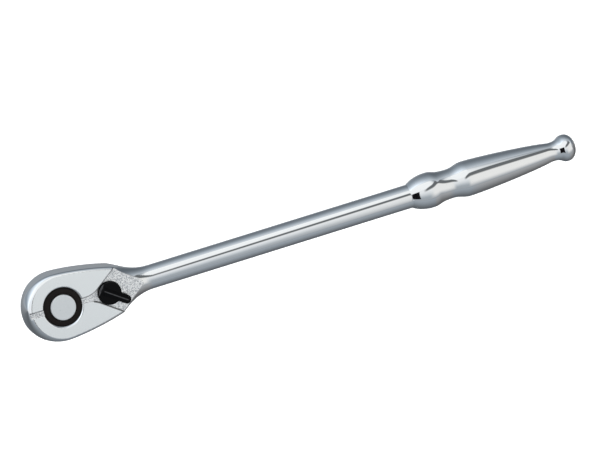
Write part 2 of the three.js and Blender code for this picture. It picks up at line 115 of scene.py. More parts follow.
LEVER_X = 23.15
LEVER_REST = math.radians(-36)
LEVER_DISC = (5.45, RECESS_FLOOR + 0.2, 28.1)
LEVER_FLANGE = (5.75, RECESS_FLOOR + 0.9)
LEVER_RIDGE_TOP = 29.3
LEVER_REACH = 10.6
LEVER_REAR = -5
LEVER_HALF = 2.1
LEVER_STEM = (3.4, 15.9)
LEVER_FOOT = (2.5, 13.5)
LEVER_SEAL_GROOVE = (2.7, 24, 24.85)
LEVER_RING_GROOVE = (2.05, 3.1, 14.15, 14.9)

PIN_X = 15.8
PIN_RADIUS = 1.25
PAWL_FLOOR = 15.7
PLUNGER_Z = 19.35
PLUNGER_BORE = (1.25, 1.9)

BALL_RADIUS = 1.5875
BALL_STANDS_OUT = 0.65
BALL_Z = 5

# ---------------------------------------------------------------- curves


def bezier(controls, steps):
    """Points of a cubic curve through its first and last of four controls."""
    a, b, c, d = (np.array(point, float) for point in controls)
    t = np.linspace(0, 1, steps + 1)[:, None]
    return (1 - t) ** 3 * a + 3 * t * (1 - t) ** 2 * b + 3 * t**2 * (1 - t) * c + t**3 * d


def ease(start, end, reach_start, reach_end, steps):
    """A smooth stretch between two widths, level at both ends."""
    leaves = (start[0] + reach_start, start[1])
    arrives = (end[0] - reach_end, end[1])
    return bezier([start, leaves, arrives, end], steps)


def head_outline(steps=80):
    """Upper half of the pear outline of the head, from the nose into the neck and on past it."""
    crown = (CROWN_X, CROWN_Y)
    in_flare = (33.45, 9.4)
    front = bezier([(NOSE_X, 0), (NOSE_X, 10), (-10.2, CROWN_Y), crown], steps)
    back = bezier([crown, (5.55, CROWN_Y), (22.65, 13.7), in_flare], steps)
    return np.vstack([front, back[1:], [(45.45, 7), (70, 7)]])


def recess_outline(steps=12):
    """Upper half of the sunk channel and kite on the lever side."""
    def edge_y(x):
        return CHANNEL_HALF + KITE_SLOPE * (x - KITE_APEX_X)

    blend_start = np.array([KITE_APEX_X - 3.5, CHANNEL_HALF])
    middle = np.array([KITE_APEX_X, CHANNEL_HALF])
    blend_end = np.array([KITE_APEX_X + 2.9, edge_y(KITE_APEX_X + 2.9)])
    t = np.linspace(0, 1, steps + 1)[:, None]
    blend = (1 - t) ** 2 * blend_start + 2 * t * (1 - t) * middle + t**2 * blend_end
    widest = edge_y(KITE_END_X)
    return np.vstack([[(NOSE_X - 4, CHANNEL_HALF)], blend, [(KITE_END_X, widest), (70, widest)]])


def pocket_outline():
    """Upper half of the pocket off the gear pocket that holds the pawl and the lever's stem."""
    arc = np.radians(np.linspace(60, 0, 9))
    radius = LEVER_STEM[0] + 0.7
    behind_stem = np.stack([LEVER_X + radius * np.cos(arc), radius * np.sin(arc)], 1)
    return np.vstack([[(4, 0), (4.001, 9.5), (9.8, 11.5), (16.6, 8.5), (LEVER_X - 2, 6.5)], behind_stem])


def handle_profile(steps=24):
    """[distance, radius] of all that is turned about the shaft's axis, from the flare to the knob's end."""
    flare = [(28.45, 12.2), (30.85, 10), (37.05, SHAFT), (45.15, SHAFT)]
    collar_foot = (COLLAR_START_X, SHAFT)
    rise = [collar_foot, (COLLAR_START_X + 1.4, SHAFT + 0.9), (COLLAR[0] - 5.6, COLLAR[1]), COLLAR]
    taper = [GRIP, (GRIP[0] + 8, GRIP[1]), (TAPER_END[0] - 8.5, TAPER_END[1] + 1.45), TAPER_END]
    grip_end = [TAPER_END, (TAPER_END[0] + 1.6, TAPER_END[1] - 0.27), (NECK[0] - 1.4, NECK[1]), NECK]
    knob_end = [KNOB, (KNOB[0] + 3.2, KNOB[1]), (END_X, 3.7), (END_X, 0)]
    flare_slope = (flare[0][1] - flare[1][1]) / (flare[1][0] - flare[0][0])
    blank_start = (0, flare[0][1] + flare[0][0] * flare_slope)
    shaft = [(x, SHAFT) for x in np.linspace(48, COLLAR_START_X - 0.3, 24)]
    stretches = [
        [blank_start],
        bezier(flare, steps),
        shaft,
        bezier(rise, steps),
        ease(COLLAR, WAIST, 4, 7.2, steps)[1:],
        ease(WAIST, GRIP, 4.1, 4.1, steps)[1:],
        bezier(taper, steps)[1:],
        bezier(grip_end, steps // 2)[1:],
        ease(NECK, KNOB, 4, 3.1, steps // 2)[1:],
        bezier(knob_end, steps)[1:],
    ]
    return np.vstack(stretches)


# ---------------------------------------------------------------- solids as fields, negative inside


def both(a, b, radius=0.0):
    """What two solids share, with the edge between them rounded."""
    rounded = np.hypot(np.maximum(radius + a, 0), np.maximum(radius + b, 0))
    return np.minimum(-radius, np.maximum(a, b)) + rounded


def cut(a, b, radius=0.0):
    """The first solid without the second."""
    return both(a, -b, radius)


def either(a, b, radius=0.0):
    """Two solids joined, with the corner between them filled."""
    return -both(-a, -b, radius)


def slab(z, bottom, top):
    return np.abs(z - (bottom + top) / 2) - (top - bottom) / 2


def drum(rho, z, radius, bottom, top, edge=0.0):
    return both(rho - radius, slab(z, bottom, top), edge)


def strip(outline, x, across):
    """Distance from an area that is mirrored about the X axis, given the upper half of its outline."""
    inside = across < np.interp(x, outline[:, 0], outline[:, 1], left=-1, right=-1)
    nearest = np.full(np.broadcast(x, across).shape, 1e9)
    for start, end in zip(outline[:-1], outline[1:]):
        run = end - start
        share = ((x - start[0]) * run[0] + (across - start[1]) * run[1]) / (run @ run)
        share = np.clip(share, 0, 1)
        gap = (x - start[0] - share * run[0]) ** 2 + (across - start[1] - share * run[1]) ** 2
        np.minimum(nearest, gap, out=nearest)
    return np.where(inside, -1, 1) * np.sqrt(nearest)


OUTLINE = head_outline()
RECESS = recess_outline()
POCKET = pocket_outline()
PROFILE = handle_profile()


def turned_blank(x, y, height):
    """The flare and the shaft, turned about the shaft's axis."""
    start = np.searchsorted(PROFILE[:, 0], COLLAR_START_X)
    stations, radii = PROFILE[:start].T
    slope = np.interp(x, stations, np.gradient(radii, stations))
    return (np.hypot(y, height) - np.interp(x, stations, radii)) / np.sqrt(1 + slope**2)


def handle_field(x, y, z):
    across = np.abs(y)
    height = z - AXIS_Z
    rho = np.hypot(x, y)
    wall = strip(OUTLINE, x, across)
    half = HEAD_TOP - AXIS_Z
    sweep_centre = NOSE_EDGE - math.sqrt(NOSE_SWEEP**2 - half**2)
    reach = np.where(x < 0, rho, CROWN_Y + wall)
    barrel = np.hypot(np.maximum(reach - sweep_centre, 0), height) - NOSE_SWEEP
    shoulder = SHOULDER * np.clip((x - NOSE_X) / 12, 0.05, 1)
    plate = both(both(wall, barrel, shoulder), np.abs(height) - half, TOP_EDGE)
    solid = both(plate, turned_blank(x, y, height), FLARE_EDGE)
    recess = both(strip(RECESS, x, across), RECESS_FLOOR - z, EDGE)
    solid = cut(solid, recess, EDGE)
    solid = cut(solid, drum(rho, z, PLATE_BORE, HEAD_BOTTOM - 3, PLATE_SEAT), EDGE)
    bevel = np.maximum(z - HEAD_TOP + WINDOW_BEVEL, 0)
    window = (rho - UPPER_JOURNAL - GAP - bevel) * np.where(bevel > 0, math.sqrt(0.5), 1)
    solid = cut(solid, both(window, ROOF_BOTTOM - 1 - z), 0.12)
    from_lever = np.hypot(x - LEVER_X, y)
    inner_cuts = [
        drum(rho, z, *SNAP_GROOVE),
        drum(rho, z, GEAR_POCKET, PLATE_SEAT - 1, ROOF_BOTTOM),
        both(strip(POCKET, x, across), slab(z, PAWL_FLOOR, ROOF_BOTTOM)),
        drum(from_lever, z, LEVER_STEM[0] + GAP, LEVER_STEM[1], HEAD_TOP),
        drum(from_lever, z, LEVER_FOOT[0] + GAP, LEVER_FOOT[1] - 0.2, LEVER_STEM[1] + 1),
        drum(from_lever, z, *LEVER_RING_GROOVE[1:]),
        drum(np.hypot(x - PIN_X, y), z, PIN_RADIUS + 0.05, HEAD_BOTTOM - 1, ROOF_BOTTOM + 1.6),
    ]
    for hollow in inner_cuts:
        solid = cut(solid, hollow)
    return solid


def gear_field(x, y, z):
    rho = np.hypot(x, y)
    turn = np.arctan2(y, x) * TEETH / (2 * math.pi)
    phase = np.abs((turn + 0.5) % 1 - 0.5)
    tooth = np.interp(phase, [0, 0.1, 0.4, 0.5], [TOOTH_TIP, TOOTH_TIP, TOOTH_ROOT, TOOTH_ROOT])
    flank_cosine = 0.6
    solid = both((rho - tooth) * flank_cosine, slab(z, GEAR_BOTTOM, GEAR_TOP))
    solid = either(solid, drum(rho, z, LOWER_JOURNAL, SQUARE_LENGTH, GEAR_BOTTOM + 1, 0.3))
    solid = either(solid, drum(rho, z, UPPER_JOURNAL, GEAR_TOP - 1, UPPER_JOURNAL_TOP))
    solid = either(solid, drum(rho, z, HUB, GEAR_TOP, HUB_TOP, 0.25))
    groove_radius, groove_bottom, groove_top = SEAL_GROOVE
    groove = both(groove_radius - rho, slab(z, groove_bottom, groove_top))
    solid = cut(solid, groove)
    square = both(np.abs(x) - SQUARE_HALF, np.abs(y) - SQUARE_HALF)
    square = both(square, rho - SQUARE_CORNER, 0.25)
    end_radius = 5.4
    end_cone = (rho - end_radius - z) * math.sqrt(0.5)
    square = both(square, end_cone, 0.2)
    square = both(square, slab(z, 0, SQUARE_LENGTH + 2), 0.3)
    solid = either(solid, square, 0.3)
    ball_bore = both(np.hypot(x, z - BALL_Z) - BALL_RADIUS - 0.06, y - 2)
    return cut(solid, ball_bore, 0.08)


def lever_field(x, y, z):
    """The reversing lever with its tail along +X and its axis at the origin."""
    across = np.abs(y)
    rho = np.hypot(x, y)
    disc_radius, disc_bottom, disc_top = LEVER_DISC
    flange = drum(rho, z, LEVER_FLANGE[0], disc_bottom, LEVER_FLANGE[1], 0.25)
    disc = either(flange, drum(rho, z, disc_radius, disc_bottom, disc_top, 0.45), 0.1)
    eaves = disc_top - 0.1
    ridge_half = 0.2
    pitch = (LEVER_RIDGE_TOP - eaves) / (LEVER_HALF - ridge_half)
    roof = (z - LEVER_RIDGE_TOP + pitch * (across - ridge_half)) / math.hypot(1, pitch)
    hip_run = 1.6
    hip_pitch = (LEVER_RIDGE_TOP - eaves) / hip_run
    tip_hip = (z - eaves + hip_pitch * (x - LEVER_REACH)) / math.hypot(1, hip_pitch)
    rear_hip = (z - eaves - hip_pitch * (x - LEVER_REAR)) / math.hypot(1, hip_pitch)
    past_tip = np.maximum(x - LEVER_REACH + LEVER_HALF, 0)
    sides = both(np.hypot(past_tip, y) - LEVER_HALF, LEVER_REAR - x, 0.2)
    tail = both(sides, slab(z, disc_bottom + 0.05, LEVER_RIDGE_TOP), 0.2)
    for plane in (roof, tip_hip, rear_hip):
        tail = both(tail, plane, 0.2)
    solid = either(disc, tail, 0.15)
    solid = either(solid, drum(rho, z, LEVER_STEM[0], LEVER_STEM[1], disc_bottom + 1))
    solid = either(solid, drum(rho, z, LEVER_FOOT[0], LEVER_FOOT[1], LEVER_STEM[1] + 1, 0.3))
    for radius, bottom, top in (LEVER_SEAL_GROOVE, (LEVER_RING_GROOVE[0], *LEVER_RING_GROOVE[2:])):
        solid = cut(solid, both(radius - rho, slab(z, bottom, top)))
    bore_radius, bore_end = PLUNGER_BORE
    return cut(solid, both(np.hypot(y, z - PLUNGER_Z) - bore_radius, x - bore_end))


def snap_ring_field(x, y, z):
    """Internal retaining ring, open at the nose, with a plier hole in each of its two ears."""
    groove_radius, groove_bottom, groove_top = SNAP_GROOVE
    rho = np.hypot(x, y)
    from_nose = np.abs(np.arctan2(y, -x))
    middle, band_inner, ear_inner = 12, 12.1, 10.9
    gap_angle, hole_angle, ear_angle = (math.radians(degrees) for degrees in (9, 14, 19))
    band = both(rho - groove_radius + GAP, band_inner - rho)
    ear = both(both(rho - groove_radius + GAP, ear_inner - rho), (from_nose - ear_angle) * middle)
    ring = either(band, ear, 0.4)
    ring = both(ring, (gap_angle - from_nose) * middle, 0.3)
    hole_x, hole_y = band_inner * math.cos(hole_angle), band_inner * math.sin(hole_angle)
    hole = np.hypot(x + hole_x, np.abs(y) - hole_y) - 0.6
    ring = cut(ring, hole, 0.05)
    return both(ring, slab(z, groove_bottom + 0.05, groove_top - 0.05), 0.1)


# ---------------------------------------------------------------- meshes from fields


def levels(*stretches):
    """Grid lines: each stretch is (start, end, spacing), and the next starts where it ends."""
    lines = [stretches[0][0]]
    for start, end, spacing in stretches:
        count = max(1, round((end - start) / spacing))
        lines.extend(np.linspace(start, end, count + 1)[1:])
    return np.array(lines)


def slopes(field, points, reach=0.02):
    """How a field grows along each axis at the points."""
    grown = []
    for axis in range(3):
        step = np.zeros(3)
        step[axis] = reach
        grown.append((field(*(points + step).T) - field(*(points - step).T)) / (2 * reach))
    return np.stack(grown, 1)


def net(field, *axes):
    """A mesh with one point in each grid cell that the surface crosses, drawn onto the surface.
    Returns its points, its four-sided faces and its outward normals."""
    values = field(axes[0][:, None, None], axes[1][None, :, None], axes[2][None, None, :])
    cells = np.array([len(lines) - 1 for lines in axes])
    total = np.zeros((*cells, 3))
    count = np.zeros(cells)
    rings = []
    for axis in range(3):
        b, c = (axis + 1) % 3, (axis + 2) % 3
        near = np.take(values, range(cells[axis]), axis)
        far = np.take(values, range(1, cells[axis] + 1), axis)
        crossing = (near < 0) != (far < 0)
        at = np.argwhere(crossing)
        share = near[crossing] / (near[crossing] - far[crossing])
        point = np.stack([axes[k][at[:, k]] for k in range(3)], 1)
        point[:, axis] += share * (axes[axis][at[:, axis] + 1] - point[:, axis])
        ring = []
        whole = np.ones(len(at), bool)
        for back_b, back_c in ((1, 1), (0, 1), (0, 0), (1, 0)):
            cell = at.copy()
            cell[:, b] -= back_b
            cell[:, c] -= back_c
            real = ((cell >= 0) & (cell < cells)).all(1)
            whole &= real
            np.add.at(total, tuple(cell[real].T), point[real])
            np.add.at(count, tuple(cell[real].T), 1)
            ring.append(cell)
        ring = np.stack(ring, 1)[whole]
        leaving = (near[crossing] < 0)[whole]
        ring[~leaving] = ring[~leaving][:, ::-1]
        rings.append(ring)
    used = count > 0
    number = np.full(cells, -1)
    number[used] = np.arange(used.sum())
    points = total[used] / count[used][:, None]
    faces = np.concatenate([number[tuple(np.moveaxis(ring, 2, 0))] for ring in rings])
    for _ in range(3):
        slope = slopes(field, points)
        steepness = np.maximum((slope**2).sum(1), 0.2)
        move = (field(*points.T) / steepness)[:, None] * slope
        points -= np.clip(move, -0.15, 0.15)
    normals = slopes(field, points)
    normals /= np.linalg.norm(normals, axis=1)[:, None]
    return points, faces, normals


def make_piece(name, points, faces, body, slot, material, normals=None, replaces=()):
    """A smooth mesh object from points in millimetres, riding on a body of the frame."""
    mesh = bpy.data.meshes.new(name)
    mesh.from_pydata((points * MM).tolist(), [], [list(map(int, face)) for face in faces])
    mesh.validate()
    mesh.polygons.foreach_set("use_smooth", [True] * len(mesh.polygons))
    if normals is None:
        mesh.set_sharp_from_angle(angle=math.radians(35))
    else:
        mesh.normals_split_custom_set_from_vertices(normals.tolist())
    mesh.materials.append(material)
    piece = bpy.data.objects.new(name, mesh)
    bpy.context.scene.collection.objects.link(piece)
    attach(piece, body)
    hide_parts(*replaces)
    return piece


def grid_faces(rows, columns, closed_rows=False):
    """Four-sided faces between neighbouring rows of a ring-shaped grid of points."""
    faces = []
    for row in range(rows if closed_rows else rows - 1):
        next_row = (row + 1) % rows
        for column in range(columns):
            next_column = (column + 1) % columns
            faces.append([
                row * columns + column,
                next_row * columns + column,
                next_row * columns + next_column,
                row * columns + next_column,
            ])
    return faces


def outward(points, faces):
    """The faces, turned over if they look into the solid."""
    volume = 0.0
    for face in faces:
        first = points[face[0]]
        for k in range(1, len(face) - 1):
            volume += first @ np.cross(points[face[k]], points[face[k + 1]])
    return faces if volume > 0 else [list(face)[::-1] for face in faces]


def softened(profile, radius, steps=4):
    """A closed profile with its corners rounded."""
    profile = np.array(profile, float)
    rounded = []
    for k, corner in enumerate(profile):
        before = profile[k - 1] - corner
        after = profile[(k + 1) % len(profile)] - corner
        start = corner + before * min(radius / np.linalg.norm(before), 0.45)
        end = corner + after * min(radius / np.linalg.norm(after), 0.45)
        t = np.linspace(0, 1, steps + 1)[:, None]
        rounded.append((1 - t) ** 2 * start + 2 * t * (1 - t) * corner + t**2 * end)
    return np.vstack(rounded)


def turned_points(profile, sides):
    """A [radius, height] profile turned about the Z axis, one ring of points after the other."""
    angles = np.linspace(0, 2 * math.pi, sides, endpoint=False)
    radii, heights = profile[:, 0][:, None], profile[:, 1][:, None]
    return np.stack([
        radii * np.cos(angles),
        radii * np.sin(angles),
        heights + 0 * angles,
    ], 2).reshape(-1, 3)


def capped_faces(rows, sides):
    """Faces between rings of points, with the first and the last ring closed by one face each."""
    last = (rows - 1) * sides
    return grid_faces(rows, sides) + [list(range(sides)), list(range(last, last + sides))[::-1]]


def ring_mesh(profile, sides=160):
    """A closed [radius, height] profile turned about the Z axis."""
    points = turned_points(profile, sides)
    return points, outward(points, grid_faces(len(profile), sides, closed_rows=True))


def capped_mesh(profile, sides=96):
    """An open [radius, height] profile turned about the Z axis, closed by one face at each end."""
    points = turned_points(profile, sides)
    return points, outward(points, capped_faces(len(profile), sides))


def spring_mesh(radius, wire, length, turns, sides=12, steps_per_turn=36):
    """A round wire wound about the +X axis from the origin."""
    t = np.linspace(0, 1, turns * steps_per_turn + 1)
    angle = 2 * math.pi * turns * t
    spin = 2 * math.pi * turns
    centre = np.stack([length * t, radius * np.cos(angle), radius * np.sin(angle)], 1)
    along = np.stack([length + 0 * t, -radius * spin * np.sin(angle), radius * spin * np.cos(angle)], 1)
    along /= np.linalg.norm(along, axis=1)[:, None]
    out = np.stack([0 * t, np.cos(angle), np.sin(angle)], 1)
    side = np.cross(along, out)
    around = np.linspace(0, 2 * math.pi, sides, endpoint=False)
    points = (
        centre[:, None]
        + wire * np.cos(around)[None, :, None] * out[:, None]
        + wire * np.sin(around)[None, :, None] * side[:, None]
    ).reshape(-1, 3)
    return points, outward(points, capped_faces(len(t), sides))


def turn_about_z(points, angle):
    return points @ np.array(Matrix.Rotation(angle, 3, "Z")).T


def at_lever(points):
    """From the lever's own axes to the frame's."""
    return turn_about_z(points, LEVER_REST) + (LEVER_X, 0, 0)


# ---------------------------------------------------------------- finishes, with painted shade and painted highlights


class Nodes:
    """Short ways to add and join the nodes of one material or world."""

    def __init__(self, owner):
        owner.use_nodes = True
        self.tree = owner.node_tree
        self.tree.nodes.clear()

    def add(self, kind, inputs=None, **settings):
        node = self.tree.nodes.new(kind)
        for name, value in settings.items():
            setattr(node, name, value)
        for name, value in (inputs or {}).items():
            self.set(node.inputs[name], value)
        return node

    def set(self, socket, value):
        if isinstance(value, bpy.types.NodeSocket):
            self.tree.links.new(value, socket)
        else:
            socket.default_value = value

    def math(self, operation, first, second=0.0, third=0.0):
        node = self.add("ShaderNodeMath", operation=operation)
        for socket, value in zip(node.inputs, (first, second, third)):
            self.set(socket, value)
        return node.outputs[0]

    def step(self, value, start, end, low=0.0, high=1.0):
        """Rises smoothly from low to high as value goes from start to end."""
        node = self.add("ShaderNodeMapRange", {
            "Value": value, "From Min": start, "From Max": end, "To Min": low, "To Max": high,
        }, interpolation_type="SMOOTHSTEP")
        return node.outputs["Result"]

    def blend(self, share, first, second):
        """One colour turning into another."""
        node = self.add("ShaderNodeMix", data_type="RGBA")
        for name, value in (("Factor_Float", share), ("A_Color", first), ("B_Color", second)):
            socket = next(s for s in node.inputs if s.identifier == name)
            self.set(socket, value)
        return next(s for s in node.outputs if s.identifier == "Result_Color")

    def noise(self, size, detail=2.0, stretch=(1, 1, 1)):
        """Noise whose features are about size metres across, drawn out along the axes by stretch."""
        place = self.add("ShaderNodeTexCoord").outputs["Object"]
        spread = self.add("ShaderNodeMapping", {"Vector": place, "Scale": [1 / s for s in stretch]})
        return self.add("ShaderNodeTexNoise", {
            "Vector": spread.outputs[0], "Scale": 1 / size, "Detail": detail,
        }).outputs["Fac"]

    def attribute(self, name):
        return self.add("ShaderNodeAttribute", attribute_name=name).outputs["Fac"]

    def split(self, coordinates):
        """The X, Y and Z of a kind of texture coordinates."""
        place = self.add("ShaderNodeTexCoord").outputs[coordinates]
        return self.add("ShaderNodeSeparateXYZ", {"Vector": place}).outputs

    def mix_shaders(self, share, first, second):
        mixed = self.add("ShaderNodeMixShader", {"Fac": share})
        self.set(mixed.inputs[1], first.outputs[0])
        self.set(mixed.inputs[2], second.outputs[0])
        return mixed

    def show(self, shader, output="ShaderNodeOutputMaterial"):
        self.set(self.add(output).inputs["Surface"], shader.outputs[0])


def surface(name, build, **fixed):
    """A material joined up by build(nodes, shader), with the shader's constant inputs given by name."""
    material = bpy.data.materials.new(name)
    nodes = Nodes(material)
    shader = nodes.add("ShaderNodeBsdfPrincipled")
    for key, value in fixed.items():
        shader.inputs[key.replace("_", " ")].default_value = value
    build(nodes, shader)
    nodes.show(shader)
    return material


def bump(nodes, shader, height, depth):
    """Bumps whose full height is depth metres."""
    node = nodes.add("ShaderNodeBump", {"Height": height, "Distance": depth, "Strength": 1.0})
    nodes.set(shader.inputs["Normal"], node.outputs[0])


def build_chrome(nodes, shader):
    """Polished plate, satin on the head's flat faces, pebbled in the sunk kite with painted shade in the
    pebbles' hollows, and painted shade as near-black lines along the kite's edges.
    """
    satin = nodes.attribute("satin")
    blasted = nodes.attribute("blasted")
    smudges = nodes.noise(0.006, 3)
    brush = nodes.noise(0.00022, 2, (6, 1, 1))
    pebbles = nodes.noise(0.00055, 1)
    # Painted shade in the pebbling's hollows: the blasted kite is drawn darker where its bumps are lowest.
    painted_pit_shade = nodes.math("MULTIPLY", blasted, nodes.step(pebbles, 0.36, 0.58, 0.85, 0.0))
    tint = nodes.blend(smudges, (0.77, 0.785, 0.8, 1), (0.82, 0.83, 0.84, 1))
    tint = nodes.blend(satin, tint, (0.9, 0.91, 0.905, 1))
    tint = nodes.blend(blasted, tint, (0.98, 0.98, 0.975, 1))
    tint = nodes.blend(painted_pit_shade, tint, (0.48, 0.49, 0.51, 1))
    # Painted shade: near-black lines along the edges of the sunk kite and channel, where the step walls
    # fall into shadow.
    tint = nodes.blend(nodes.attribute("corner"), tint, (0.03, 0.03, 0.033, 1))
    nodes.set(shader.inputs["Base Color"], tint)
    rough = nodes.math("MULTIPLY_ADD", smudges, 0.03, 0.03)
    rough = nodes.math("MULTIPLY_ADD", satin, 0.2, rough)
    rough = nodes.math("MULTIPLY_ADD", blasted, 0.26, rough)
    nodes.set(shader.inputs["Roughness"], rough)
    height = nodes.math("MULTIPLY", blasted, pebbles)
    height = nodes.math("ADD", height, nodes.math("MULTIPLY", nodes.math("MULTIPLY", satin, brush), 0.04))
    bump(nodes, shader, height, 0.00022)


def build_steel(nodes, shader):
    """Machined steel with fine rings about the drive's axis."""
    x, y, _ = nodes.split("Object")
    x_squared, y_squared = (nodes.math("MULTIPLY", place, place) for place in (x, y))
    rho = nodes.math("SQRT", nodes.math("ADD", x_squared, y_squared))
    grain = nodes.noise(0.0012, 3)
    wander = nodes.math("MULTIPLY", grain, 6.0)
    rings = nodes.math("SINE", nodes.math("MULTIPLY_ADD", rho, 2 * math.pi / 0.00035, wander))
    tint = nodes.blend(grain, (0.73, 0.75, 0.755, 1), (0.81, 0.82, 0.825, 1))
    nodes.set(shader.inputs["Base Color"], tint)
    nodes.set(shader.inputs["Roughness"], nodes.math("MULTIPLY_ADD", grain, 0.12, 0.24))
    bump(nodes, shader, rings, 0.0000012)


def build_spring_steel(nodes, shader):
    grain = nodes.noise(0.0008, 3)
    nodes.set(shader.inputs["Base Color"], nodes.blend(grain, (0.5, 0.51, 0.52, 1), (0.62, 0.62, 0.62, 1)))
    nodes.set(shader.inputs["Roughness"], nodes.math("MULTIPLY_ADD", grain, 0.15, 0.2))
    bump(nodes, shader, nodes.noise(0.0002, 2), 0.000003)


def build_black_steel(nodes, shader):
    """Black oxide, thinner and greyer in patches."""
    patches = nodes.step(nodes.noise(0.003, 4), 0.35, 0.75)
    tint = nodes.blend(patches, (0.028, 0.028, 0.032, 1), (0.06, 0.058, 0.056, 1))
    nodes.set(shader.inputs["Base Color"], tint)
    nodes.set(shader.inputs["Roughness"], nodes.math("MULTIPLY_ADD", patches, 0.15, 0.34))
    bump(nodes, shader, nodes.noise(0.0003, 3), 0.000008)


def build_lever_black(nodes, shader):
    """Satin black coating over a cast lever, with a patchy painted highlight along the ridge and on the
    rear facet.
    """
    grain = nodes.noise(0.0005, 3)
    uneven = nodes.step(nodes.noise(0.0015, 3), 0.25, 0.6, 0.4)
    # Painted highlight: lighter base colour along the ridge's top and on the tail's rear facet, in patches.
    painted_highlight = nodes.math("MULTIPLY", nodes.attribute("painted_highlight"), uneven)
    tint = nodes.blend(painted_highlight, (0.0018, 0.0018, 0.002, 1), (0.05, 0.05, 0.053, 1))
    nodes.set(shader.inputs["Base Color"], tint)
    nodes.set(shader.inputs["Roughness"], nodes.math("MULTIPLY_ADD", grain, 0.12, 0.2))
    bump(nodes, shader, grain, 0.00001)


def build_rubber(nodes, shader):
    grain = nodes.noise(0.0004, 3)
    tint = nodes.blend(grain, (0.0045, 0.0036, 0.0034, 1), (0.009, 0.0075, 0.007, 1))
    nodes.set(shader.inputs["Base Color"], tint)
    nodes.set(shader.inputs["Roughness"], nodes.math("MULTIPLY_ADD", grain, 0.15, 0.5))
    bump(nodes, shader, grain, 0.00002)


CHROME = surface("chrome", build_chrome, Metallic=1.0)
STEEL = surface("gear_steel", build_steel, Metallic=1.0)
SPRING_STEEL = surface("spring_steel", build_spring_steel, Metallic=1.0)
BLACK_STEEL = surface("black_steel", build_black_steel, Metallic=0.3)
LEVER_BLACK = surface("lever_black", build_lever_black, Metallic=0.0, Specular_IOR_Level=0.06)
RUBBER = surface("rubber", build_rubber, Metallic=0.0, Specular_IOR_Level=0.1)

# ---------------------------------------------------------------- the handle


def shaft_rings(start_x, sides):
    """Points, faces and normals of the shaft and grip, in rings from start_x to the knob's end."""
    past = PROFILE[PROFILE[:, 0] > start_x][:-1]
    stations = np.vstack([[(start_x, SHAFT)], past])
    run = np.gradient(stations, axis=0)
    run /= np.linalg.norm(run, axis=1)[:, None]
    angles = np.linspace(-math.pi, math.pi, sides, endpoint=False)
    turn = np.stack([0 * angles, np.cos(angles), np.sin(angles)], 1)
    along = np.array([1, 0, 0])
    points = stations[:, 0][:, None, None] * along + stations[:, 1][:, None, None] * turn
    normals = run[:, 0][:, None, None] * turn - run[:, 1][:, None, None] * along
    points = points.reshape(-1, 3) + (0, 0, AXIS_Z)
    faces = grid_faces(len(stations), sides)
    last = len(points) - sides
    faces += [[last + k, last + (k + 1) % sides, len(points)] for k in range(sides)]
    points = np.vstack([points, [(END_X, 0, AXIS_Z)]])
    normals = np.vstack([normals.reshape(-1, 3), [along]])
    return points, [face[::-1] for face in faces], normals


def open_edge(faces):
    """The points on the edge of an open mesh of four-sided faces."""
    edges = np.concatenate([np.stack([faces[:, k], faces[:, (k + 1) % 4]], 1) for k in range(4)])
    edges.sort(axis=1)
    pairs, uses = np.unique(edges, axis=0, return_counts=True)
    return np.unique(pairs[uses == 1])


def turn_of(points):
    """Angle of points about the shaft's axis."""
    return np.arctan2(points[:, 2] - AXIS_Z, points[:, 1])


def stitch(first, second, first_turns, second_turns):
    """Three-sided faces between two closed rings of point numbers, each in order of its angle."""
    faces = []
    i = j = 0
    whole = 2 * math.pi
    while i < len(first) or j < len(second):
        next_first = first_turns[(i + 1) % len(first)] + whole * ((i + 1) // len(first))
        next_second = second_turns[(j + 1) % len(second)] + whole * ((j + 1) // len(second))
        here, there = first[i % len(first)], second[j % len(second)]
        if j >= len(second) or (i < len(first) and next_first < next_second):
            faces.append([here, first[(i + 1) % len(first)], there])
            i += 1
        else:
            faces.append([here, second[(j + 1) % len(second)], there])
            j += 1
    return faces


def make_handle():
    spacing = 0.32
    head_end, join_x = 36, 48
    head_axes = (
        levels((NOSE_X - 0.6, head_end, spacing), (head_end, join_x - 1, 0.5)),
        levels((-CROWN_Y - 0.6, CROWN_Y + 0.6, spacing)),
        levels(
            (HEAD_BOTTOM - 0.5, 14, 0.15),
            (14, RECESS_FLOOR - 0.5, 0.45),
            (RECESS_FLOOR - 0.5, HEAD_TOP + 0.5, 0.12),
        ),
    )
    head_points, head_faces, head_normals = net(handle_field, *head_axes)
    sides = 144
    shaft_points, shaft_faces, shaft_normals = shaft_rings(join_x, sides)
    edge = open_edge(head_faces)
    edge = edge[np.argsort(turn_of(head_points[edge]))]
    offset = len(head_points)
    first_ring = np.arange(offset, offset + sides)
    seam = stitch(edge, first_ring, turn_of(head_points[edge]), turn_of(shaft_points[:sides]))
    points = np.vstack([head_points, shaft_points])
    normals = np.vstack([head_normals, shaft_normals])
    faces = [*head_faces.tolist(), *seam, *[[k + offset for k in face] for face in shaft_faces]]
    handle = make_piece("handle", points, faces, "body", "chrome", CHROME, normals, ["handle_body"])
    level = np.abs(normals[:, 2]) > 0.985
    x, y, z = points.T
    near = 0.06
    outer_faces = (x < head_end) & ((z > HEAD_TOP - near) | (z < HEAD_BOTTOM + near))
    kite_tip, line_width = 41.5, 0.42
    recess = (x < kite_tip) & (np.abs(z - RECESS_FLOOR) < near)
    # Painted shade: a dark line along the recess outline, strongest at its edge, kept to the kite and to
    # the shadowed side of the channel.
    corner = np.clip(1 - np.abs(strip(RECESS, x, np.abs(y))) / line_width, 0, 1)
    corner *= (z > RECESS_FLOOR - near) & (x < KITE_END_X) & ((y > 0) | (x > KITE_APEX_X))
    finishes_and_painted_shade = {
        "satin": level & outer_faces,
        "blasted": level & recess,
        # painted shade along the recess edges
        "corner": corner,
    }
    for name, share in finishes_and_painted_shade.items():
        attribute = handle.data.attributes.new(name, "FLOAT", "POINT")
        attribute.data.foreach_set("value", share.astype(np.float32))


make_handle()

# ---------------------------------------------------------------- the works


